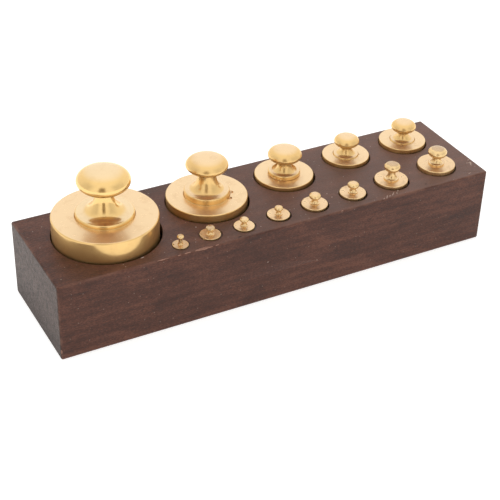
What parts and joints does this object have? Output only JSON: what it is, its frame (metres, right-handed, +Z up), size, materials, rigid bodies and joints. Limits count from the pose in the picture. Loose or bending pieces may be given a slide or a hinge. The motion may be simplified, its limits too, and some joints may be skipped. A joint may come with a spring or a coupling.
{
  "type": "brass weight set in wooden block",
  "caption": "Set of turned brass knob weights that lift out of round bores in a long dark hardwood block, for weighing on a balance.",
  "frame": {"origin": "centre of the block's underside", "axes": "+X along the block towards the 50 g weight, +Y to the back row of large weights, +Z up"},
  "size_m": [0.3, 0.0772, 0.0972],
  "materials": {
    "stained_hardwood": "dark stained hardwood, waxed to a low gloss",
    "polished_brass": "mirror polished",
    "satin_brass": "lathe-turned satin",
    "tarnished_brass": "lathe-turned satin, lightly tarnished and dented",
    "lead_shot": "dull grey lead"
  },
  "bodies": {
    "block": {"wood_block": "stained_hardwood"},
    "weight_1000g": {"weight_1000g_body": "satin_brass", "weight_1000g_knob": "polished_brass", "weight_1000g_shot": "lead_shot"},
    "weight_500g": {"weight_500g_body": "satin_brass", "weight_500g_knob": "satin_brass", "weight_500g_shot": "lead_shot"},
    "weight_200g": {"weight_200g_body": "satin_brass", "weight_200g_knob": "satin_brass", "weight_200g_shot": "lead_shot"},
    "weight_100g_a": {"weight_100g_a_body": "satin_brass", "weight_100g_a_knob": "satin_brass", "weight_100g_a_shot": "lead_shot"},
    "weight_100g_b": {"weight_100g_b_body": "satin_brass", "weight_100g_b_knob": "satin_brass", "weight_100g_b_shot": "lead_shot"},
    "weight_1g": {"weight_1g": "tarnished_brass"},
    "weight_2g_b": {"weight_2g_b": "tarnished_brass"},
    "weight_2g_a": {"weight_2g_a": "tarnished_brass"},
    "weight_5g": {"weight_5g": "tarnished_brass"},
    "weight_10g_b": {"weight_10g_b": "tarnished_brass"},
    "weight_10g_a": {"weight_10g_a": "tarnished_brass"},
    "weight_20g": {"weight_20g": "tarnished_brass"},
    "weight_50g": {"weight_50g": "tarnished_brass"}
  },
  "joints": [
    {"name": "lift_1000g", "type": "slide", "parent": "block", "child": "weight_1000g", "axis": [0, 0, 1], "range_m": [0, 0.04]},
    {"name": "lift_500g", "type": "slide", "parent": "block", "child": "weight_500g", "axis": [0, 0, 1], "range_m": [0, 0.041]},
    {"name": "lift_200g", "type": "slide", "parent": "block", "child": "weight_200g", "axis": [0, 0, 1], "range_m": [0, 0.036]},
    {"name": "lift_100g_a", "type": "slide", "parent": "block", "child": "weight_100g_a", "axis": [0, 0, 1], "range_m": [0, 0.032]},
    {"name": "lift_100g_b", "type": "slide", "parent": "block", "child": "weight_100g_b", "axis": [0, 0, 1], "range_m": [0, 0.031]},
    {"name": "lift_1g", "type": "slide", "parent": "block", "child": "weight_1g", "axis": [0, 0, 1], "range_m": [0, 0.021]},
    {"name": "lift_2g_b", "type": "slide", "parent": "block", "child": "weight_2g_b", "axis": [0, 0, 1], "range_m": [0, 0.021]},
    {"name": "lift_2g_a", "type": "slide", "parent": "block", "child": "weight_2g_a", "axis": [0, 0, 1], "range_m": [0, 0.021]},
    {"name": "lift_5g", "type": "slide", "parent": "block", "child": "weight_5g", "axis": [0, 0, 1], "range_m": [0, 0.023]},
    {"name": "lift_10g_b", "type": "slide", "parent": "block", "child": "weight_10g_b", "axis": [0, 0, 1], "range_m": [0, 0.024]},
    {"name": "lift_10g_a", "type": "slide", "parent": "block", "child": "weight_10g_a", "axis": [0, 0, 1], "range_m": [0, 0.024]},
    {"name": "lift_20g", "type": "slide", "parent": "block", "child": "weight_20g", "axis": [0, 0, 1], "range_m": [0, 0.023]},
    {"name": "lift_50g", "type": "slide", "parent": "block", "child": "weight_50g", "axis": [0, 0, 1], "range_m": [0, 0.028]}
  ]
}
